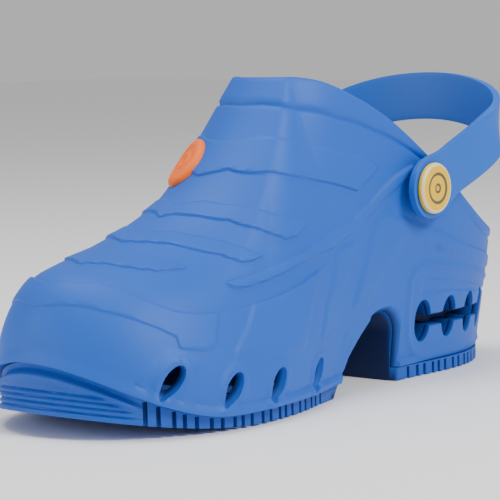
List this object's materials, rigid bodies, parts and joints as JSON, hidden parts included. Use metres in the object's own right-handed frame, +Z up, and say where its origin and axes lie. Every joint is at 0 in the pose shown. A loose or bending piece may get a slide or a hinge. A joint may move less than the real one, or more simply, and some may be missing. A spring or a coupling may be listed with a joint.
{
  "type": "clog",
  "caption": "Closed-toe moulded work clog for the left foot, with a hollow shell, arch cut-out, vented sides and a raised heel strap on round buttons.",
  "frame": {"origin": "on the floor, under the middle of the heel block, on the plane through the middle of the heel", "axes": "+Z up, -Y towards the toe, +X towards the wearer's left, which is the outer side of this left shoe"},
  "size_m": [0.1096, 0.2953, 0.1391],
  "materials": {
    "body_blue": "satin moulded blue",
    "sole_blue": "matt blue",
    "strap_blue": "satin blue",
    "liner_blue": "dark blue liner",
    "button_yellow": "yellow",
    "badge_orange": "orange"
  },
  "bodies": {
    "root": {"upper": "body_blue", "sole": "sole_blue", "insole": "liner_blue", "heel_strap": "strap_blue", "strap_button_lateral": "button_yellow", "strap_button_medial": "button_yellow", "vamp_badge": "badge_orange"}
  },
  "joints": []
}
